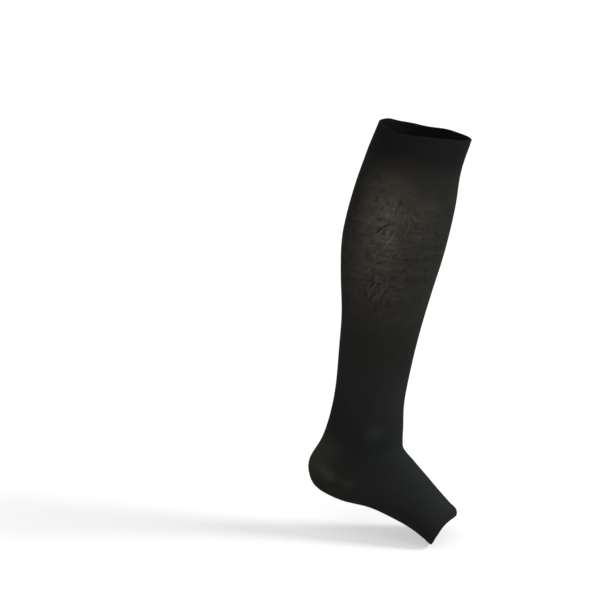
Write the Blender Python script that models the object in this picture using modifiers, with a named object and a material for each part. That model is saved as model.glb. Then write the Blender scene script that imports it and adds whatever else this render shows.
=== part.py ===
"""Knee-high compression stocking with an open toe, as worn: the hollow knit keeps the form of leg, heel and foot.

Frame: metres, +Z up, +X towards the toes, -Y the inner side of the leg. The origin is the middle of the top
opening, where the leg holds the stocking up. The shin leans over the toes and the heel is raised.
"""

import math

import bmesh
import bpy
import numpy as np

# ---------------------------------------------------------------- driving dimensions (metres)
MM = 0.001
KNIT_WALL = 1.1 * MM  # stretched compression knit
BAND_WALL = 2.0 * MM  # the welt is two layers of knit
HEM_WALL = 1.8 * MM  # the toe hem is turned under
HEM_PROUD = 0.5 * MM  # how far the toe hem stands out from the knit
BAND_GAP = 0.32 * MM  # between the band and the tube, along the middle line: 0.3 mm where they come nearest
HEM_GAP = 0.36 * MM  # between the tube and the toe hem, along the middle line: 0.3 mm over the instep
BAND_HEIGHT = 42.0 * MM
HEM_WIDTH = 7.0 * MM
RIM_FRONT_RISE = 2.2 * MM  # the top edge isn't cut flat: it stands up over the shin and over the calf
RIM_BACK_RISE = 3.2 * MM
RIM_SIDE_DIP = 0.5 * MM
RIM_REACH = 30.0 * MM  # and this far down the band it is even again
TOE_SCOOP = 7.2 * MM  # the toe edge runs back over both sides of the foot
TOE_REACH = 55.0 * MM

AROUND = 36  # points round a section
TUBE_RINGS = 46  # sections drawn along the knit tube
BAND_RINGS = 5
HEM_RINGS = 3

# Sections from the top opening down to the toe opening, millimetres.
# front_x, front_z: the point over the shin and instep; back_x, back_z: over the calf, heel and sole;
# half_width: to the inner and to the outer side alike; low: how far the widest place sits towards the back or
# the sole (0 is the middle); square: 2 is an ellipse, more is flatter.
COLUMNS = ("front_x", "front_z", "back_x", "back_z", "half_width", "low", "square")
SECTIONS = {
    "mouth": (50, -9.5, -50, 9.5, 50.0, 0.20, 2.0),
    "band_end": (39.6, -42, -62, -20, 51.5, 0.18, 2.0),
    "upper_calf": (34.2, -79, -75, -56.5, 54.0, 0.16, 2.0),
    "calf": (27.6, -111, -85, -92.5, 56.0, 0.14, 2.0),
    "full_calf": (20.1, -140.5, -90, -120.5, 55.5, 0.12, 2.0),
    "under_calf": (9.1, -176.5, -91, -155, 51.5, 0.10, 2.0),
    "mid_shin": (-3.0, -219, -90, -200, 44.5, 0.08, 2.0),
    "low_shin": (-12.2, -258, -93, -241.5, 37.5, 0.04, 2.0),
    "above_ankle": (-20.0, -300, -97, -285.5, 31.5, 0.00, 2.0),
    "ankle": (-21.2, -330, -103.5, -318.5, 31.0, 0.00, 2.0),
    "bones": (-21.7, -344, -112.5, -345, 33.5, -0.05, 2.0),
    "heel_back": (-21, -353.5, -126.5, -370, 34.0, -0.10, 2.1),
    "heel": (-16, -361, -125.5, -389.5, 34.0, -0.08, 2.2),
    "heel_under": (-11, -366, -115.5, -403, 33.5, -0.02, 2.2),
    "hind_foot": (-4, -374, -90, -414, 34.0, 0.06, 2.2),
    "mid_foot": (5.5, -385, -59, -419.0, 37.0, 0.14, 2.2),
    "instep": (15.5, -397.5, -33, -428.0, 40.5, 0.16, 2.25),
    "ball": (26.4, -411.3, -10, -438.4, 44.0, 0.14, 2.3),
    "toe_edge": (41.0, -428.4, 13.6, -455.0, 46.0, 0.10, 2.3),
}

COLOURS = {  # linear colour, roughness
    "band_knit": ((0.0112, 0.0112, 0.0116), 0.85),
    "stretch_knit": ((0.0150, 0.0148, 0.0142), 0.82),
    "hem_knit": ((0.0100, 0.0104, 0.0106), 0.85),
}


# ---------------------------------------------------------------- scene and materials
def clear_scene():
    for item in list(bpy.data.objects):
        bpy.data.objects.remove(item, do_unlink=True)


def new_collection(name):
    made = bpy.data.collections.new(name)
    bpy.context.scene.collection.children.link(made)
    return made


def knit_material(name):
    colour, roughness = COLOURS[name]
    made = bpy.data.materials.new(name)
    made.use_nodes = True
    shader = made.node_tree.nodes["Principled BSDF"]
    shader.inputs["Base Color"].default_value = (*colour, 1.0)
    shader.inputs["Roughness"].default_value = roughness
    shader.inputs["Metallic"].default_value = 0.0
    made.diffuse_color = (*colour, 1.0)
    return made


# ---------------------------------------------------------------- sections
def smooth_column(values, at):
    """Catmull-Rom through one column of the section table, at places counted in sections from the top."""
    ends = np.concatenate([[2 * values[0] - values[1]], values, [2 * values[-1] - values[-2]]])
    i = np.clip(np.asarray(at).astype(int), 0, len(values) - 2)
    t = at - i
    p0, p1, p2, p3 = (ends[i + k] for k in range(4))
    bend = 2 * p0 - 5 * p1 + 4 * p2 - p3
    return 0.5 * (2 * p1 + (p2 - p0) * t + bend * t * t + (3 * p1 - p0 - 3 * p2 + p3) * t * t * t)


def section_at(at):
    table = np.array(list(SECTIONS.values()), dtype=float)
    return {name: smooth_column(table[:, k], at) for k, name in enumerate(COLUMNS)}


def path_lengths():
    """The places from the top opening to the toe opening and the length along the middle line to each, in metres."""
    places = np.linspace(0.0, len(SECTIONS) - 1, 900)
    s = section_at(places)
    middles = np.stack([(s["front_x"] + s["back_x"]) / 2, (s["front_z"] + s["back_z"]) / 2], axis=1)
    steps = np.linalg.norm(np.diff(middles, axis=0), axis=1)
    return places, np.concatenate([[0.0], np.cumsum(steps)]) * MM


def edge_shift(length, turn, whole):
    """How far up the leg the knit is drawn near its two openings, at a length down it and a turn from the shin."""
    side = 180.0 - np.abs(180.0 - np.degrees(turn))
    rim = RIM_FRONT_RISE * np.exp(-((side / 82.0) ** 6)) + RIM_BACK_RISE * np.exp(-(((side - 180.0) / 38.0) ** 4))
    rim -= RIM_SIDE_DIP * np.exp(-(((side - 103.0) / 16.0) ** 2))
    toe = TOE_SCOOP * np.exp(-(((side - 55.0) / 52.0) ** 2))
    near_toe = np.clip((length - whole + TOE_REACH) / (TOE_REACH - HEM_WIDTH - 4 * MM), 0.0, 1.0)
    return rim * max(0.0, 1.0 - length / RIM_REACH) ** 2 + toe * near_toe**2 * (3 - 2 * near_toe)


def ring_points(length, path, outwards=0.0):
    """The outline at a length down the leg. It starts at the shin and runs round by the inner side to the calf."""
    places, lengths = path
    turn = 2 * math.pi * np.arange(AROUND) / AROUND
    down = length - edge_shift(length, turn, lengths[-1])
    at = np.where(down < 0.0, down * places[1] / lengths[1], np.interp(down, lengths, places))
    s = section_at(at)
    front = np.stack([s["front_x"], np.zeros(AROUND), s["front_z"]], axis=1) * MM
    back = np.stack([s["back_x"], np.zeros(AROUND), s["back_z"]], axis=1) * MM
    half = (back - front) / 2
    deep = np.linalg.norm(half, axis=1, keepdims=True)
    power = 2.0 / s["square"]
    u = -np.sign(np.cos(turn)) * np.abs(np.cos(turn)) ** power
    v = np.sign(np.sin(turn)) * np.abs(np.sin(turn)) ** power * (1 + s["low"] * u) / (1 + s["low"] ** 2)
    points = (front + back) / 2 + half / deep * u[:, None] * (deep + outwards)
    points[:, 1] -= v * (s["half_width"] * MM + outwards)
    return points


def sleeve(name, downs, path, wall, material, home, outwards=0.0):
    """A hollow length of the stocking: an open surface through the sections, thickened inwards."""
    grid = bmesh.new()
    rings = [[grid.verts.new(p) for p in ring_points(down, path, outwards)] for down in downs]
    for above, below in zip(rings[:-1], rings[1:]):
        for k in range(AROUND):
            j = (k + 1) % AROUND
            grid.faces.new((above[k], above[j], below[j], below[k]))
    bmesh.ops.recalc_face_normals(grid, faces=grid.faces)
    mesh = bpy.data.meshes.new(name)
    grid.to_mesh(mesh)
    grid.free()
    piece = bpy.data.objects.new(name, mesh)
    home.objects.link(piece)
    mesh.materials.append(material)
    for face in mesh.polygons:
        face.use_smooth = True
    thick = piece.modifiers.new("wall", "SOLIDIFY")
    thick.thickness = wall
    thick.offset = -1.0
    thick.use_even_offset = True
    thick.use_rim = True
    return piece


# ---------------------------------------------------------------- the pieces
def top_band(path, home):
    downs = np.linspace(0.0, BAND_HEIGHT, BAND_RINGS)
    return sleeve("top_band", downs, path, BAND_WALL, knit_material("band_knit"), home)


def knit_tube(path, home):
    end = path[1][-1] - HEM_WIDTH - HEM_GAP
    downs = np.linspace(BAND_HEIGHT + BAND_GAP, end, TUBE_RINGS)
    return sleeve("knit_tube", downs, path, KNIT_WALL, knit_material("stretch_knit"), home)


def toe_band(path, home):
    whole = path[1][-1]
    downs = np.linspace(whole - HEM_WIDTH, whole, HEM_RINGS)
    return sleeve("toe_band", downs, path, HEM_WALL, knit_material("hem_knit"), home, outwards=HEM_PROUD)


def build():
    clear_scene()
    home = new_collection("compression_stocking")
    path = path_lengths()
    top_band(path, home)
    knit_tube(path, home)
    toe_band(path, home)


build()
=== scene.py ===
"""Black knee-high compression stocking with an open toe, in the form it has when worn.

The knit is empty and keeps the shape of leg, heel and foot. Metres, +Z up, +X towards the toes, -Y the inner
side of the leg, which faces the camera.
"""

import math

import bpy
import numpy as np
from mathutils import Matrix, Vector


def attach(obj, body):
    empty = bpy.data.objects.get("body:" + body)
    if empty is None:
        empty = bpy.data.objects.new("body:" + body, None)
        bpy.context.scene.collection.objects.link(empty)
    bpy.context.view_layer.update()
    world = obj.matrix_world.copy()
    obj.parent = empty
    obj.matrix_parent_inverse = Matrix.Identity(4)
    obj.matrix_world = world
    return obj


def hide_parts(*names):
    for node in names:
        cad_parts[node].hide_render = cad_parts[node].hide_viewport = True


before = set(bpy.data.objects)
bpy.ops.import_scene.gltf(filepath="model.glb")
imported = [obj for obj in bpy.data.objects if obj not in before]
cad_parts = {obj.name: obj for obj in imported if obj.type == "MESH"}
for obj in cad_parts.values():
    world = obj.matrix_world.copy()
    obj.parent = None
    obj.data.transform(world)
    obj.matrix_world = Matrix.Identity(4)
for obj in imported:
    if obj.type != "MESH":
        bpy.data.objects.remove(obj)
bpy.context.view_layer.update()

# ------------------------------------------------------------------------------------------------ knit tube
# The leg and foot of the stocking: nylon and elastane, dyed black and circular-knitted in one piece. The calf
# stretches the loops open, so it is paler and warmer there, and it bunches into short, fine troughs. Its ends
# run on under the top band and the toe hem, which are knitted and sewn to it.
MM = 0.001
TUBE_WALL = 0.95 * MM
TUBE_FROM = 39.0 * MM  # 3 mm up under the band, which is 42 mm tall
HEM_WIDTH = 7.0 * MM
UNDER_HEM = 2.5 * MM  # the tube stops this far short of the toe edge, inside the hem
HEM_SHUT = 1.2 * MM  # this far down the hem it has closed over the tube
HEM_PRESS = 0.25 * MM  # and presses it in by this much
# The top edge isn't cut flat: it stands up over the shin and the calf, and dips a little at either side. SPAN
# is how many degrees round each reaches.
RIM_FRONT_RISE, RIM_FRONT_SPAN = 2.2 * MM, 82.0
RIM_BACK_RISE, RIM_BACK_SPAN = 3.2 * MM, 38.0
RIM_SIDE_DIP, RIM_SIDE_AT, RIM_SIDE_SPAN = 0.5 * MM, 103.0, 16.0
RIM_REACH = 30.0 * MM  # this far down the band it is even again
# The toe edge runs back over both sides of the foot.
TOE_SCOOP, TOE_SCOOP_AT, TOE_SCOOP_SPAN = 7.2 * MM, 55.0, 52.0
TOE_REACH, TOE_FULL = 55.0 * MM, 11.0 * MM  # how far up from the edge it starts, and is full
# Rings of faces are close together on the creased calf and wider apart on the band, shin, heel and foot.
CREASED_FROM, CREASED_TO = 64.0 * MM, 203.0 * MM
FINE_STEP, PLAIN_STEP = 1.12 * MM, 3.6 * MM
# Degrees round from the shin, closer together on the creased inner and outer sides: from, to, points.
TURN_SPANS = ((0, 46, 15), (46, 134, 78), (134, 226, 30), (226, 314, 78), (314, 360, 15))
TURNS = np.concatenate([np.linspace(*span, endpoint=False) for span in TURN_SPANS])
AROUND = len(TURNS)

# Sections from the top opening down to the toe opening, millimetres.
# front_x, front_z: the point over the shin and instep; back_x, back_z: over the calf, heel and sole;
# half_width: to either side; low: how far the widest place sits to the back or the sole (0 is the middle);
# square: 2 is an ellipse, more is flatter.
SECTION_COLUMNS = ("front_x", "front_z", "back_x", "back_z", "half_width", "low", "square")
SECTIONS = {
    "mouth": (50, -9.5, -50, 9.5, 50.0, 0.20, 2.0),
    "band_end": (39.6, -42, -62, -20, 51.5, 0.18, 2.0),
    "upper_calf": (34.2, -79, -75, -56.5, 54.0, 0.16, 2.0),
    "calf": (27.6, -111, -85, -92.5, 56.0, 0.14, 2.0),
    "full_calf": (20.1, -140.5, -90, -120.5, 55.5, 0.12, 2.0),
    "under_calf": (9.1, -176.5, -91, -155, 51.5, 0.10, 2.0),
    "mid_shin": (-3.0, -219, -90, -200, 44.5, 0.08, 2.0),
    "low_shin": (-12.2, -258, -93, -241.5, 37.5, 0.04, 2.0),
    "above_ankle": (-20.0, -300, -97, -285.5, 31.5, 0.00, 2.0),
    "ankle": (-21.2, -330, -103.5, -318.5, 31.0, 0.00, 2.0),
    "bones": (-21.7, -344, -112.5, -345, 33.5, -0.05, 2.0),
    "heel_back": (-21, -353.5, -126.5, -370, 34.0, -0.10, 2.1),
    "heel": (-16, -361, -125.5, -389.5, 34.0, -0.08, 2.2),
    "heel_under": (-11, -366, -115.5, -403, 33.5, -0.02, 2.2),
    "hind_foot": (-4, -374, -90, -414, 34.0, 0.06, 2.2),
    "mid_foot": (5.5, -385, -59, -419.0, 37.0, 0.14, 2.2),
    "instep": (15.5, -397.5, -33, -428.0, 40.5, 0.16, 2.25),
    "ball": (26.4, -411.3, -10, -438.4, 44.0, 0.14, 2.3),
    "toe_edge": (41.0, -428.4, 13.6, -455.0, 46.0, 0.10, 2.3),
}

# Creases of the stretched calf. down: millimetres along the leg from the top opening; turn:
# degrees round from the shin (90 inner side, 180 calf, 270 outer side); length, width, depth: millimetres
# (a negative depth is a ridge); lean: degrees from upright, positive where it runs down towards the calf on
# the inner side; bow: millimetres that its middle stands off its chord.
CREASE_COLUMNS = ("down", "turn", "length", "lean", "width", "depth", "bow")
CREASES = (
    # inner side, below the band: upright ticks
    (72, 113, 13, 12, 2.1, 0.30, 0.4),
    (76, 103, 9, 6, 1.9, 0.22, 0.0),
    (74, 88, 14, 10, 2.0, 0.32, -0.5),
    (79, 79, 8, -4, 1.9, 0.20, 0.0),
    (88, 97, 10, 8, 2.2, -0.22, 0.4),
    (84, 68, 10, -14, 2.0, 0.20, 0.3),
    # inner side, the main trough and the strokes beside it
    (104, 98, 19, 45, 2.3, 0.70, 1.4),
    (112, 108, 9, 62, 2.0, 0.35, 0.5),
    (104, 114, 10, 14, 2.0, 0.34, 0.0),
    (98, 76, 9, -18, 1.9, 0.42, 0.3),
    (97, 79, 9, -16, 1.9, -0.34, 0.2),
    (97, 73, 9, -20, 2.0, -0.38, 0.3),
    (90, 71, 8, -30, 1.9, 0.24, 0.0),
    (89, 68, 8, -30, 2.0, -0.36, 0.0),
    (95, 66, 13, -42, 1.9, 0.24, 0.7),
    (106, 68, 8, 86, 2.1, 0.36, 0.6),
    (98, 62, 8, -16, 1.9, 0.32, 0.0),
    (97, 57, 8, -20, 2.0, 0.30, 0.2),
    (98, 51, 7, -14, 2.0, 0.28, 0.0),
    (97, 44, 7, -18, 2.1, 0.22, 0.0),
    (108, 53, 9, -40, 2.0, 0.22, 0.4),
    (112, 95, 17, 20, 2.6, -0.70, -1.2),
    (113, 89, 18, 18, 2.6, -0.62, -1.4),
    (119, 107, 7, 74, 1.9, 0.32, 0.0),
    (122, 106, 7, 76, 1.9, 0.30, 0.3),
    (126, 104, 8, 80, 1.9, 0.28, 0.0),
    (121, 97, 11, 26, 2.0, 0.30, 0.5),
    (138, 103, 12, 40, 2.0, 0.42, 0.6),
    (133, 85, 20, 84, 2.0, 0.26, 0.8),
    (140, 62, 17, 34, 2.2, 0.20, 0.6),
    (149, 96, 8, 30, 2.2, -0.26, 0.0),
    (153, 86, 9, 24, 2.4, -0.28, 0.3),
    (148, 104, 7, 60, 1.9, 0.26, 0.0),
    # inner side, the lower calf: short slanting dashes
    (170, 110, 6, -50, 2.1, 0.26, 0.0),
    (166, 104, 5, 20, 1.9, 0.20, 0.0),
    (167, 98, 7, 40, 2.0, 0.58, 0.5),
    (166, 92, 8, 24, 1.9, 0.68, 0.0),
    (162, 87, 8, 26, 1.9, 0.68, 0.2),
    (161, 80, 11, 24, 2.0, 0.62, 0.4),
    (165, 95, 6, 20, 2.2, -0.34, 0.0),
    (164, 88, 7, 16, 2.2, -0.32, 0.0),
    (159, 75, 5, 24, 1.9, 0.34, 0.0),
    (174, 86, 22, 24, 2.6, -0.66, 0.6),
    (171, 82, 17, 24, 2.0, 0.34, 0.5),
    (170, 77, 9, -4, 2.8, -0.28, 0.0),
    (182, 99, 15, 24, 2.0, 0.56, 0.0),
    (178, 107, 11, 22, 1.9, 0.42, 0.3),
    (186, 105, 12, 24, 2.0, 0.42, 0.0),
    (182, 103, 14, 24, 2.0, -0.42, 0.0),
    (183, 95, 14, 24, 2.0, -0.52, 0.0),
    (186, 91, 12, 22, 1.9, 0.46, 0.0),
    (188, 81, 15, 86, 2.0, 0.16, 0.5),
    (181, 74, 6, 0, 2.2, 0.20, 0.0),
    (194, 92, 12, 20, 2.2, 0.20, 0.3),
    # outer side, much the same and no two alike
    (70, 249, 12, -9, 2.1, 0.28, 0.3),
    (77, 262, 15, -6, 2.0, 0.32, 0.5),
    (80, 281, 9, 8, 1.9, 0.22, 0.0),
    (96, 256, 10, -40, 2.1, 0.40, 0.4),
    (107, 264, 21, -38, 2.4, 0.68, 1.2),
    (103, 288, 9, 26, 1.9, 0.48, 0.0),
    (111, 297, 8, 70, 1.9, 0.42, 0.5),
    (109, 251, 11, -20, 2.0, 0.34, 0.0),
    (118, 268, 21, -14, 2.7, -0.50, 0.7),
    (116, 276, 18, -8, 2.4, -0.42, 0.4),
    (131, 258, 10, -48, 2.3, 0.46, 0.4),
    (136, 279, 11, -30, 2.1, 0.28, 0.0),
    (148, 290, 12, -12, 2.0, 0.24, 0.3),
    (160, 252, 8, -36, 2.1, 0.46, 0.2),
    (157, 272, 9, -28, 2.1, 0.54, 0.0),
    (165, 280, 8, -18, 2.0, 0.48, 0.3),
    (172, 262, 7, -25, 2.0, 0.50, 0.0),
    (178, 271, 23, -26, 2.7, -0.42, 0.6),
    (181, 258, 8, -22, 2.0, 0.42, 0.0),
    (187, 266, 10, -20, 2.1, 0.46, 0.3),
    (198, 275, 12, -16, 2.2, 0.26, 0.3),
    # over the calf and the shin
    (92, 168, 13, 8, 2.2, 0.30, 0.4),
    (103, 191, 17, -14, 2.3, 0.42, 0.7),
    (121, 176, 11, 36, 2.2, 0.36, 0.4),
    (139, 197, 12, -26, 2.2, 0.34, 0.0),
    (150, 162, 10, 22, 2.1, 0.32, 0.3),
    (171, 186, 12, -18, 2.1, 0.36, 0.0),
    (189, 173, 10, 14, 2.1, 0.30, 0.3),
    (98, 18, 10, -20, 2.1, 0.24, 0.0),
    (127, 341, 12, 16, 2.1, 0.26, 0.3),
    (158, 22, 10, -12, 2.0, 0.22, 0.0),
    # ankle and heel: broad and shallow
    (322, 62, 26, 74, 4.5, 0.22, 1.0),
    (331, 300, 24, -70, 4.5, 0.22, 1.0),
    (352, 158, 18, 60, 4.0, 0.20, 1.0),
)

# How the dyed knit looks where it is at rest, stretched or lit through its loops, with painted light and
# shade among the patches, given one by one.
# down, turn: as above; reach_down, reach_round: millimetres to where a patch has faded by two thirds.
PATCH_COLUMNS = ("down", "turn", "reach_down", "reach_round", "colour", "strength")
TUBE_BASE = "#181816"
PATCHES = (
    (128, 0, 92, 82, "#22221f", 0.85),
    (118, 103, 70, 44, "#2c2925", 0.85),
    (120, 257, 70, 44, "#2c2925", 0.85),
    (180, 102, 44, 38, "#292623", 0.60),
    (182, 260, 44, 38, "#292623", 0.60),
    (94, 105, 38, 25, "#3c3832", 0.75),
    (96, 256, 38, 25, "#3c3832", 0.75),
    (83, 100, 17, 9, "#45403a", 0.60),
    (85, 261, 17, 9, "#45403a", 0.60),
    (88, 60, 25, 21, "#3a3530", 0.28),
    (90, 300, 25, 21, "#3a3530", 0.28),
    (124, 92, 13, 11, "#474039", 0.40),
    (126, 267, 13, 11, "#474039", 0.40),
    (64, 105, 18, 30, "#35312d", 0.50),
    (66, 256, 18, 30, "#35312d", 0.50),
    (140, 100, 34, 24, "#37322e", 0.45),
    (142, 259, 34, 24, "#37322e", 0.45),
    (250, 115, 40, 46, "#1e1f1b", 0.60),
    (250, 245, 40, 46, "#1e1f1b", 0.60),
    (400, 70, 100, 80, "#171818", 0.90),
    (400, 290, 100, 80, "#171818", 0.90),
    (290, 75, 32, 60, "#1d1e1e", 0.60),
    (290, 285, 32, 60, "#1d1e1e", 0.60),
    (412, 108, 40, 44, "#1b1c1a", 0.55),
    (412, 252, 40, 44, "#1b1c1a", 0.55),
    # painted shade under the ankle bones, inner and outer
    (352, 66, 12, 38, "#141515", 0.60),
    (352, 294, 12, 38, "#141515", 0.60),
    # a painted sheen along the instep
    (445, 0, 105, 36, "#1b1f1f", 0.80),
    # painted highlights on the ankle bones
    (335, 70, 11, 9, "#222323", 0.60),
    (335, 290, 11, 9, "#222323", 0.60),
    # painted light over the heel, paler and olive
    (384, 132, 28, 30, "#1e1f1a", 0.60),
    (384, 228, 28, 30, "#1e1f1a", 0.60),
    # painted shade on the sole
    (418, 180, 50, 34, "#121212", 0.55),
    # painted highlights on the heel: a broad one, and a streak of small spots on either side
    (364, 156, 18, 32, "#2b2c25", 0.75),
    (364, 204, 18, 32, "#2b2c25", 0.55),
    (373, 135, 6, 7, "#2a2b26", 0.40),
    (378, 125, 6, 7, "#31322c", 0.40),
    (384, 117, 6, 7, "#33342d", 0.42),
    (396, 103, 6, 6, "#292a25", 0.42),
    (377, 232, 7, 8, "#2c2d27", 0.45),
    (382, 242, 6, 7, "#31322c", 0.40),
    (397, 257, 6, 6, "#292a25", 0.42),
)

# Where the stretched loops gather into fine lines, and which way these run on the inner side: "rise" up to
# the shin, "fall" down to the shin, "upright" straight, "lace" as small open diamonds.
GATHER_COLUMNS = ("kind", "down", "turn", "reach_down", "reach_round", "strength")
GATHERS = (
    ("upright", 78, 96, 18, 26, 0.75),
    ("rise", 112, 98, 16, 15, 1.00),
    ("fall", 100, 70, 10, 12, 0.80),
    ("lace", 119, 82, 13, 16, 1.00),
    ("lace", 144, 92, 14, 19, 1.00),
    ("rise", 148, 103, 14, 16, 0.60),
    ("rise", 172, 93, 20, 22, 0.90),
    ("upright", 128, 60, 20, 14, 0.45),
    ("upright", 80, 265, 18, 26, 0.75),
    ("fall", 114, 262, 17, 15, 1.00),
    ("rise", 105, 292, 12, 20, 0.95),
    ("lace", 122, 276, 13, 16, 1.00),
    ("lace", 146, 268, 14, 19, 1.00),
    ("fall", 150, 258, 14, 16, 0.60),
    ("fall", 175, 267, 20, 22, 0.90),
    ("upright", 110, 180, 40, 26, 0.60),
    ("upright", 112, 5, 40, 30, 0.35),
)


def linear(code):
    """A #rrggbb screen colour as the linear values that Blender works in."""
    parts = [int(code[i : i + 2], 16) / 255 for i in (1, 3, 5)]
    return [p / 12.92 if p <= 0.04045 else ((p + 0.055) / 1.055) ** 2.4 for p in parts]


def smooth_column(values, at):
    """Catmull-Rom through one column of the section table, at places counted in sections from the top."""
    ends = np.concatenate([[2 * values[0] - values[1]], values, [2 * values[-1] - values[-2]]])
    i = np.clip(np.asarray(at).astype(int), 0, len(values) - 2)
    t = at - i
    p0, p1, p2, p3 = (ends[i + k] for k in range(4))
    bend = 2 * p0 - 5 * p1 + 4 * p2 - p3
    return 0.5 * (2 * p1 + (p2 - p0) * t + bend * t * t + (3 * p1 - p0 - 3 * p2 + p3) * t * t * t)


def section_at(at):
    table = np.array(list(SECTIONS.values()), dtype=float)
    return {name: smooth_column(table[:, k], at) for k, name in enumerate(SECTION_COLUMNS)}


def middle_line():
    """Places from the top opening to the toe opening, and how long the middle line is to each, in metres."""
    places = np.linspace(0.0, len(SECTIONS) - 1, 900)
    s = section_at(places)
    middles = np.stack([(s["front_x"] + s["back_x"]) / 2, (s["front_z"] + s["back_z"]) / 2], axis=1)
    steps = np.linalg.norm(np.diff(middles, axis=0), axis=1)
    return places, np.concatenate([[0.0], np.cumsum(steps)]) * MM


PLACES, LENGTHS = middle_line()
WHOLE = LENGTHS[-1]


def edge_shift(length, turn):
    """How far up the leg the knit is drawn near its two openings, at a length down it and a turn round."""
    side = 180.0 - np.abs(180.0 - np.degrees(turn))
    rim = RIM_FRONT_RISE * np.exp(-((side / RIM_FRONT_SPAN) ** 6))
    rim += RIM_BACK_RISE * np.exp(-(((side - 180.0) / RIM_BACK_SPAN) ** 4))
    rim -= RIM_SIDE_DIP * np.exp(-(((side - RIM_SIDE_AT) / RIM_SIDE_SPAN) ** 2))
    toe = TOE_SCOOP * np.exp(-(((side - TOE_SCOOP_AT) / TOE_SCOOP_SPAN) ** 2))
    near_toe = np.clip((length - WHOLE + TOE_REACH) / (TOE_REACH - TOE_FULL), 0.0, 1.0)
    return rim * max(0.0, 1.0 - length / RIM_REACH) ** 2 + toe * near_toe**2 * (3 - 2 * near_toe)


def ring(length, outwards=0.0):
    """The outline at a length down the leg, from the shin round by the inner side to the calf and back."""
    turn = np.radians(TURNS)
    down = length - edge_shift(length, turn)
    at = np.where(down < 0.0, down * PLACES[1] / LENGTHS[1], np.interp(down, LENGTHS, PLACES))
    s = section_at(at)
    front = np.stack([s["front_x"], np.zeros(AROUND), s["front_z"]], axis=1) * MM
    back = np.stack([s["back_x"], np.zeros(AROUND), s["back_z"]], axis=1) * MM
    half = (back - front) / 2
    deep = np.linalg.norm(half, axis=1, keepdims=True)
    power = 2.0 / s["square"]
    u = -np.sign(np.cos(turn)) * np.abs(np.cos(turn)) ** power
    v = np.sign(np.sin(turn)) * np.abs(np.sin(turn)) ** power
    v = v * (1 + s["low"] * u) / (1 + s["low"] ** 2)
    points = (front + back) / 2 + half / deep * u[:, None] * (deep + outwards)
    points[:, 1] -= v * (s["half_width"] * MM + outwards)
    return points


def leg_grid(downs, outwards):
    """Rings one under another; for each point, millimetres down, degrees round and its ring's girth."""
    points = np.array([ring(d, o) for d, o in zip(downs, outwards)])
    down = np.repeat(np.array(downs)[:, None] / MM, AROUND, axis=1)
    turn = np.repeat(TURNS[None, :], len(downs), axis=0)
    girth = np.linalg.norm(points - np.roll(points, -1, axis=1), axis=2).sum(axis=1) / MM
    return points, down, turn, np.repeat(girth[:, None], AROUND, axis=1)


def outward(points):
    """Unit normals of a grid of rings."""
    round_step = np.roll(points, -1, axis=1) - np.roll(points, 1, axis=1)
    normals = np.cross(round_step, np.gradient(points, axis=0))
    return normals / np.linalg.norm(normals, axis=2, keepdims=True)


def offset_round(turn, at, girth):
    """Millimetres round the leg from one turn to another, the short way."""
    return ((turn - at + 180.0) % 360.0 - 180.0) / 360.0 * girth


def creased(down, turn, girth):
    """The height of the creases over a grid, in millimetres: troughs are below 0 and ridges above."""
    height = np.zeros_like(down)
    for row in CREASES:
        c = dict(zip(CREASE_COLUMNS, row))
        lean = math.radians(c["lean"])
        x, y = offset_round(turn, c["turn"], girth), down - c["down"]
        along = x * math.sin(lean) + y * math.cos(lean)
        across = x * math.cos(lean) - y * math.sin(lean)
        reach = along / (0.5 * c["length"])
        across = across - c["bow"] * (1 - reach**2)
        profile = np.exp(-((across / (0.5 * c["width"])) ** 2))
        height -= c["depth"] * profile * np.exp(-(reach**4))
    return height


def gathered(kind, down, turn, girth):
    """How strongly one kind of fine line shows over a grid."""
    total = np.zeros_like(down)
    for row in GATHERS:
        g = dict(zip(GATHER_COLUMNS, row))
        if g["kind"] == kind:
            x = offset_round(turn, g["turn"], girth) / g["reach_round"]
            total += g["strength"] * np.exp(-(x**2) - ((down - g["down"]) / g["reach_down"]) ** 2)
    return np.minimum(total, 1.0)


def painted(down, turn, girth):
    """The colour of the knit over a grid, linear: its dye, with the painted highlights, sheen and shade of
    PATCHES.
    """
    colour = np.ones(down.shape + (3,)) * linear(TUBE_BASE)
    for row in PATCHES:
        p = dict(zip(PATCH_COLUMNS, row))
        x = offset_round(turn, p["turn"], girth) / p["reach_round"]
        y = (down - p["down"]) / p["reach_down"]
        weight = (p["strength"] * np.exp(-((x**2 + y**2) ** 1.5)))[..., None]
        colour = colour * (1 - weight) + np.array(linear(p["colour"])) * weight
    return colour


def knit_mesh(name, points, closed_down, values, colours, downs):
    """A mesh over a grid of rings, closed round the leg, with its values, dye and painted light, and knit
    map.

    closed_down joins the last ring to the first. The knit map is degrees round and millimetres down.
    """
    rows = len(points)
    bands = range(rows if closed_down else rows - 1)
    faces = []
    for i in bands:
        a, b = i * AROUND, (i + 1) % rows * AROUND
        for k in range(AROUND):
            n = (k + 1) % AROUND
            faces.append((a + k, a + n, b + n, b + k))
    mesh = bpy.data.meshes.new(name)
    mesh.from_pydata(points.reshape(-1, 3).tolist(), [], faces)
    mesh.polygons.foreach_set("use_smooth", [True] * len(faces))
    made = bpy.data.objects.new(name, mesh)
    bpy.context.scene.collection.objects.link(made)
    for title, data in values.items():
        mesh.attributes.new(title, "FLOAT", "POINT").data.foreach_set("value", data.ravel())
    paint = np.concatenate([colours, np.ones(colours.shape[:2] + (1,))], axis=2)
    mesh.attributes.new("dye_and_painted_light", "FLOAT_COLOR", "POINT").data.foreach_set("color", paint.ravel())
    layer = mesh.uv_layers.new(name="knit_map")
    map_at = []
    for i in bands:
        j = (i + 1) % rows
        for k in range(AROUND):
            left, right = TURNS[k], TURNS[k + 1] if k + 1 < AROUND else 360.0
            low = downs[j, k] if j else downs[i, k] + 1.0
            map_at += [left, downs[i, k], right, downs[i, k], right, low, left, low]
    layer.data.foreach_set("uv", map_at)
    mesh.validate()
    mesh.update()
    return made


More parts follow.
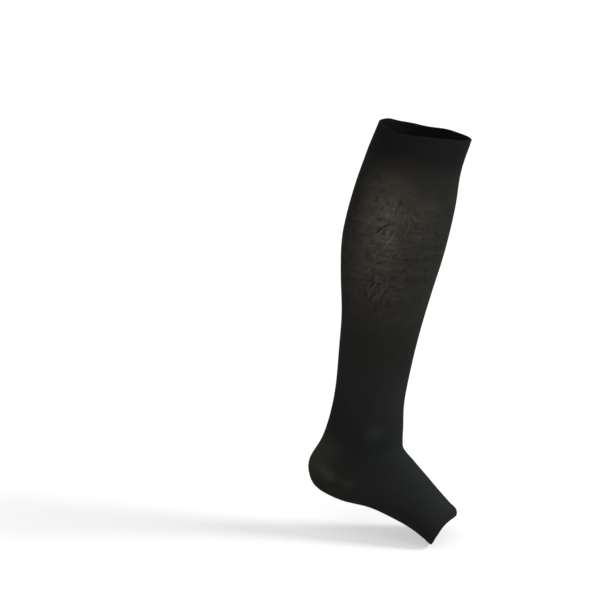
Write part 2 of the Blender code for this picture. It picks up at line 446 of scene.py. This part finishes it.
def add(tree, kind, settings=None, **links):
    """A node with its own settings and, for each input, a value or another node's output.

    An input goes by its name, or by its number as i0, i1 and so on.
    """
    made = tree.nodes.new(kind)
    for key, value in (settings or {}).items():
        setattr(made, key, value)
    for key, value in links.items():
        by_number = key[0] == "i" and key[1:].isdigit()
        socket = made.inputs[int(key[1:]) if by_number else key.replace("_", " ")]
        if isinstance(value, bpy.types.NodeSocket):
            tree.links.new(value, socket)
        else:
            socket.default_value = value
    return made


def maths(tree, operation, a, b=0.0, c=0.0):
    return add(tree, "ShaderNodeMath", {"operation": operation}, i0=a, i1=b, i2=c).outputs[0]


def thread_noise(tree, place, lean, across, along, seed):
    """Fine lines in the knit map, -0.5 to 0.5: noise drawn out along a direction, lean degrees from upright.

    across and along are how many changes there are to a millimetre, across the lines and along them.
    """
    turn = (0.0, 0.0, math.radians(lean))
    turned = add(tree, "ShaderNodeMapping", Vector=place, Rotation=turn).outputs[0]
    shift, scale = (seed, seed, seed), (across, along, 1.0)
    drawn = add(tree, "ShaderNodeMapping", Vector=turned, Location=shift, Scale=scale).outputs[0]
    noise = add(tree, "ShaderNodeTexNoise", Vector=drawn, Scale=1.0, Detail=1.5, Roughness=0.5).outputs[0]
    return maths(tree, "SUBTRACT", noise, 0.5)


# How the fine lines of the knit run: lean from upright in degrees, changes to a millimetre across and along
# them, and a number that sets each apart from the others. Real wales and courses are about 0.6 mm apart, too
# fine to see at this size, so lines of 2 to 8 mm stand for the bands that they gather into.
THREADS = {
    "row": (0.0, 0.03, 0.34, 3.0),  # bands of courses, 3 mm apart
    "broad_row": (0.0, 0.014, 0.13, 13.0),  # and 8 mm apart
    "fine": (0.0, 0.50, 0.45, 11.0),  # the grain of the loops
    "upright": (4.0, 0.56, 0.09, 5.0),  # gathers, 2 mm apart
    "rise": (27.0, 0.40, 0.10, 7.0),
    "fall": (-32.0, 0.40, 0.10, 9.0),
}
KNIT_SPECULAR = 0.03  # fibres this matt and this dark give almost no highlight
LACE_SIZE = 0.68  # radians of pattern to a millimetre, so the diamonds are 4.6 mm wide
LACE_MIDDLE = 0.4
# How much each changes the tone of the dye and painted light, on a scale where 1 doubles it and -1 is black.
TONES = {"broad_row": 1.2, "fine": 0.5, "lines": 2.1, "lace": 0.50, "mottle": 0.35, "fold": 0.75}


def knit_material(name, roughness, courses):
    """Dyed knit, matt and without gloss. courses is how strongly its rows show."""
    made = bpy.data.materials.new(name)
    made.use_nodes = True
    tree = made.node_tree
    shader = tree.nodes["Principled BSDF"]
    dye_and_painted_light = add(tree, "ShaderNodeAttribute", {"attribute_name": "dye_and_painted_light"}).outputs["Color"]
    place = add(tree, "ShaderNodeUVMap", {"uv_map": "knit_map"}).outputs[0]

    def shown(name):
        return add(tree, "ShaderNodeAttribute", {"attribute_name": name}).outputs["Fac"]

    # No row of loops runs quite true on a leg: the map wanders by up to 7 mm over 20 mm or so.
    wander = add(tree, "ShaderNodeTexNoise", Vector=place, Scale=0.05, Detail=1.0).outputs["Color"]
    moved = add(tree, "ShaderNodeVectorMath", {"operation": "SCALE"}, i0=wander, Scale=7.0).outputs[0]
    place = add(tree, "ShaderNodeVectorMath", {"operation": "ADD"}, i0=place, i1=moved).outputs[0]
    threads = {kind: thread_noise(tree, place, *run) for kind, run in THREADS.items()}
    row = maths(tree, "MULTIPLY", threads["row"], shown("stretch"))
    broad_row = maths(tree, "MULTIPLY", threads["broad_row"], shown("stretch"))
    upright, rise, fall = (
        maths(tree, "MULTIPLY", threads[kind], shown(kind)) for kind in ("upright", "rise", "fall")
    )
    cloud = add(tree, "ShaderNodeTexNoise", Vector=place, Scale=0.06, Detail=3.0, Roughness=0.55).outputs[0]
    split = add(tree, "ShaderNodeSeparateXYZ", Vector=place)
    x, y = (maths(tree, "MULTIPLY", split.outputs[k], LACE_SIZE) for k in (0, 1))
    one = maths(tree, "ABSOLUTE", maths(tree, "SINE", maths(tree, "ADD", x, y)))
    two = maths(tree, "ABSOLUTE", maths(tree, "SINE", maths(tree, "SUBTRACT", x, y)))
    # Less about its mean, so that the lace hardly changes how dark the knit is.
    diamonds = maths(tree, "SUBTRACT", maths(tree, "MINIMUM", one, two), LACE_MIDDLE)
    lace = maths(tree, "MULTIPLY", diamonds, shown("lace"))

    lines = maths(tree, "ADD", maths(tree, "ADD", rise, fall), upright)
    tone = maths(tree, "MULTIPLY", row, courses)
    tone = maths(tree, "MULTIPLY_ADD", broad_row, TONES["broad_row"] * courses, tone)
    tone = maths(tree, "MULTIPLY_ADD", threads["fine"], TONES["fine"] * courses, tone)
    tone = maths(tree, "MULTIPLY_ADD", lines, TONES["lines"], tone)
    tone = maths(tree, "MULTIPLY_ADD", lace, TONES["lace"], tone)
    mottle = maths(tree, "MULTIPLY", maths(tree, "SUBTRACT", cloud, 0.5), shown("stretch"))
    tone = maths(tree, "MULTIPLY_ADD", mottle, TONES["mottle"], tone)
    # Troughs hold closed loops and go dark, ridges open them and go pale; the colour also carries painted
    # shade in the troughs and painted light on the ridges.
    tone = maths(tree, "MULTIPLY_ADD", shown("fold"), TONES["fold"], tone)
    light = add(tree, "ShaderNodeMapRange", Value=tone, i1=-1.0, i2=1.0, i3=0.0, i4=2.0).outputs[0]
    colour = add(tree, "ShaderNodeVectorMath", {"operation": "SCALE"}, i0=dye_and_painted_light, Scale=light).outputs[0]
    tree.links.new(colour, shader.inputs["Base Color"])

    # Gathers stand out of the knit more than its rows do.
    relief = maths(tree, "MULTIPLY_ADD", lines, 1.2, maths(tree, "MULTIPLY", row, 0.5))
    bump = add(tree, "ShaderNodeBump", Strength=0.4, Distance=0.6 * MM, Height=relief).outputs[0]
    tree.links.new(bump, shader.inputs["Normal"])
    shader.inputs["Roughness"].default_value = roughness
    shader.inputs["Specular IOR Level"].default_value = KNIT_SPECULAR
    return made


def tube_downs():
    """The length down the leg to each ring of faces."""
    downs = [TUBE_FROM]
    while downs[-1] < WHOLE - UNDER_HEM - PLAIN_STEP:
        downs.append(downs[-1] + (FINE_STEP if CREASED_FROM < downs[-1] < CREASED_TO else PLAIN_STEP))
    return downs + [WHOLE - UNDER_HEM]


def stretch_at(down, least=0.12, fullest=128.0, reach=85.0):
    """How far the leg opens the loops: 1 round the calf, little at the band and from the ankle on."""
    return least + (1 - least) * np.exp(-(np.abs((down - fullest) / reach) ** 3))


downs = tube_downs()
outs = [-HEM_PRESS if d > WHOLE - HEM_WIDTH + HEM_SHUT else 0.0 for d in downs]
grid, down, turn, girth = leg_grid(downs, outs)
height = creased(down, turn, girth)
grid = grid + outward(grid) * (height * MM)[..., None]
# fold is the crease height, which also paints shade into the troughs and light onto the ridges
shows = {"fold": height, "stretch": stretch_at(down)}
shows |= {kind: gathered(kind, down, turn, girth) for kind in ("upright", "rise", "fall", "lace")}
tube = knit_mesh("knit_tube_cloth", grid, False, shows, painted(down, turn, girth), down)
wall = tube.modifiers.new("wall", "SOLIDIFY")
wall.thickness = TUBE_WALL
wall.offset = -1.0
# Textured nylon, circular-knitted: a soft, even black without gloss, in which rows and gathers just show.
tube.data.materials.append(knit_material("stretched_black_nylon_knit", 0.88, 0.7))
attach(tube, "root")
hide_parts("knit_tube")

# ------------------------------------------------------------------------------------------------ top band
# The grip band under the knee: the same yarn knitted double and denser, so it stays a plain, even black and
# keeps no creases. Its top edge is a soft fold; its lower edge thins out into the tube that it is knitted to.
BAND_WALL = 1.9 * MM
BAND_PROUD = 0.2 * MM
# Millimetres down from the top edge: where the round of the fold ends, where the band has the tone of its
# middle, and from where to where it takes on the tone of the tube.
BAND_FOLD_AT = 1.2
BAND_MIDDLE = 26.0
BAND_FADE = 22.0, 42.0
BAND_COLOURS = {"fold": "#151415", "middle": "#151414"}
# The thin lower edge, as millimetres down and out from the knit.
BAND_FOOT = ((36, 0.16), (40, 0.06), (44, -0.04), (44.4, -0.05), (44.4, -0.6), (42, -0.9))
FOLD_TURNS = np.radians((25, 50, 75, 105, 130, 155))  # points round a folded edge


def band_profile():
    """The cut through the doubled band: down the outside, round the foot, up the inside and over the fold."""
    outside = [(d, BAND_PROUD) for d in np.linspace(BAND_FOLD_AT, 32.0, 17) * MM]
    foot = [(d * MM, out * MM) for d, out in BAND_FOOT]
    inside = [(d, BAND_PROUD - BAND_WALL) for d in np.linspace(38.5, BAND_FOLD_AT, 12) * MM]
    radius, centre = BAND_WALL / 2, BAND_PROUD - BAND_WALL / 2
    fold = [(BAND_FOLD_AT * MM - radius * math.sin(a), centre - radius * math.cos(a)) for a in FOLD_TURNS]
    return outside + foot + inside + fold


def blend_colours(first, second, share):
    """One colour giving way to another over a grid."""
    return np.array(first) * (1 - share[..., None]) + np.array(second) * share[..., None]


profile = band_profile()
grid, down, turn, girth = leg_grid([p[0] for p in profile], [p[1] for p in profile])
# The fold is soft and never quite true: it rises and falls by up to half a millimetre.
wave = 0.25 * np.sin(np.radians(5 * turn + 40)) + 0.2 * np.sin(np.radians(9 * turn))
grid[..., 2] += wave * MM * np.clip(1.0 - down * MM / RIM_REACH, 0.0, 1.0) ** 2
share = np.clip(down / BAND_MIDDLE, 0.0, 1.0)
shade = blend_colours(linear(BAND_COLOURS["fold"]), linear(BAND_COLOURS["middle"]), share)
share = np.clip((down - BAND_FADE[0]) / (BAND_FADE[1] - BAND_FADE[0]), 0.0, 1.0) ** 1.2
just_below = np.full_like(down, 44.0)
shade = blend_colours(shade, painted(just_below, turn, girth), share)
band = knit_mesh("top_band_cloth", grid, True, {}, shade, down)
# The same nylon in two layers: closed loops, so it is blacker and smoother than the tube.
band.data.materials.append(knit_material("doubled_black_nylon_knit", 0.86, 0.15))
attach(band, "root")
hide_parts("top_band")

# ------------------------------------------------------------------------------------------------ toe hem
# The edge of the open toe: the end of the tube turned under and overlocked, a firm rounded lip 7 mm wide,
# with a faint line of stitches round it.
HEM_WALL = 1.8 * MM
HEM_PROUD = 0.5 * MM
HEM_COLOUR = "#191a1a"
# Millimetres down from the hem's upper edge and out from the knit, over its swell, stitch line and lip.
HEM_OUTSIDE = (
    (0.0, -0.2), (0.3, 0.15), (1.0, 0.5), (1.9, 0.44), (2.3, 0.28), (2.7, 0.46), (4.0, 0.55), (5.6, 0.5),
)
HEM_INSIDE = (5.6, 4.0, 2.4, 0.8)


def hem_profile():
    """The cut through the turned edge as a closed loop."""
    start = WHOLE - HEM_WIDTH
    outside = [(start + d * MM, out * MM) for d, out in HEM_OUTSIDE]
    radius, centre = HEM_WALL / 2, HEM_PROUD - HEM_WALL / 2
    fold = [(WHOLE - radius + radius * math.sin(a), centre + radius * math.cos(a)) for a in FOLD_TURNS]
    inside = [(start + d * MM, HEM_PROUD - HEM_WALL) for d in HEM_INSIDE]
    return outside + fold + inside + [(start, -0.9 * MM)]


profile = hem_profile()
grid, down, _, _ = leg_grid([p[0] for p in profile], [p[1] for p in profile])
shade = np.ones(down.shape + (3,)) * linear(HEM_COLOUR)
hem = knit_mesh("toe_hem_cloth", grid, True, {}, shade, down)
# The same knit, pressed flat by its stitches: it catches a little more light than the tube beside it.
hem.data.materials.append(knit_material("overlocked_black_knit_edge", 0.88, 0.15))
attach(hem, "root")
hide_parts("toe_band")

# ------------------------------------------------------------------------------------------------ floor
# A seamless white studio floor, wide enough to fill every view. The toe edge of the hem stands on it.
FLOOR_SIZE = 60.0
FLOOR_CLEAR = 0.2 * MM
low = min((hem.matrix_world @ v.co).z for v in hem.data.vertices)
bpy.ops.mesh.primitive_plane_add(size=FLOOR_SIZE, location=(0.0, 0.0, low - FLOOR_CLEAR))
floor = bpy.context.object
floor.name = "studio_floor"
# White paper: matt, and lit so brightly that only the soft shadow shows on it.
PAPER = {
    "Base Color": (0.45, 0.45, 0.45, 1.0),
    "Roughness": 0.95,
    "Specular IOR Level": 0.1,
    "Emission Color": (1.0, 1.0, 1.0, 1.0),
    "Emission Strength": 0.50,
}
paper = bpy.data.materials.new("matt_white_paper")
paper.use_nodes = True
for socket, value in PAPER.items():
    paper.node_tree.nodes["Principled BSDF"].inputs[socket].default_value = value
floor.data.materials.append(paper)

# ------------------------------------------------------------------------------------------------ light
# White surroundings, a broad softbox on the toe side, which throws the long soft shadow back from the toes,
# and a wider, weaker one over the camera.
AMBIENT = 0.42
SOFTBOXES = (  # name, strength, width in degrees, the way that its light travels
    ("toe_side_softbox", 3.3, 25.0, (-0.80, 0.0, -0.56)),
    ("front_softbox", 1.05, 60.0, (-0.15, 0.75, -0.65)),
)
world = bpy.data.worlds.new("white_studio")
bpy.context.scene.world = world
world.use_nodes = True
tree = world.node_tree
path = add(tree, "ShaderNodeLightPath").outputs["Is Camera Ray"]
level = add(tree, "ShaderNodeMapRange", Value=path, i1=0.0, i2=1.0, i3=AMBIENT, i4=1.0).outputs[0]
tree.nodes["Background"].inputs["Color"].default_value = (1.0, 1.0, 1.0, 1.0)
tree.links.new(level, tree.nodes["Background"].inputs["Strength"])

for title, strength, spread, travel in SOFTBOXES:
    bpy.ops.object.light_add(type="SUN")
    softbox = bpy.context.object
    softbox.name = title
    softbox.data.energy = strength
    softbox.data.angle = math.radians(spread)
    softbox.rotation_euler = Vector(travel).to_track_quat("-Z", "Y").to_euler()

# ------------------------------------------------------------------------------------------------ camera
# A long lens from a little above, turned 11 degrees towards the toes from square on to the inner side.
AIM = Vector((-0.1357, -0.0084, -0.1885))
AZIMUTH, ELEVATION, DISTANCE = math.radians(11.0), math.radians(11.0), 2.6
LENS, SENSOR = 141.8, 36.0
bpy.ops.object.camera_add()
camera = bpy.context.object
camera.data.sensor_width = SENSOR
camera.data.lens = LENS
camera.data.clip_end = 100.0
sideways = math.cos(ELEVATION)
away = Vector((math.sin(AZIMUTH) * sideways, -math.cos(AZIMUTH) * sideways, math.sin(ELEVATION)))
camera.location = AIM + away * DISTANCE
camera.rotation_euler = (-away).to_track_quat("-Z", "Y").to_euler()
bpy.context.scene.camera = camera
bpy.context.scene.view_settings.view_transform = "Standard"
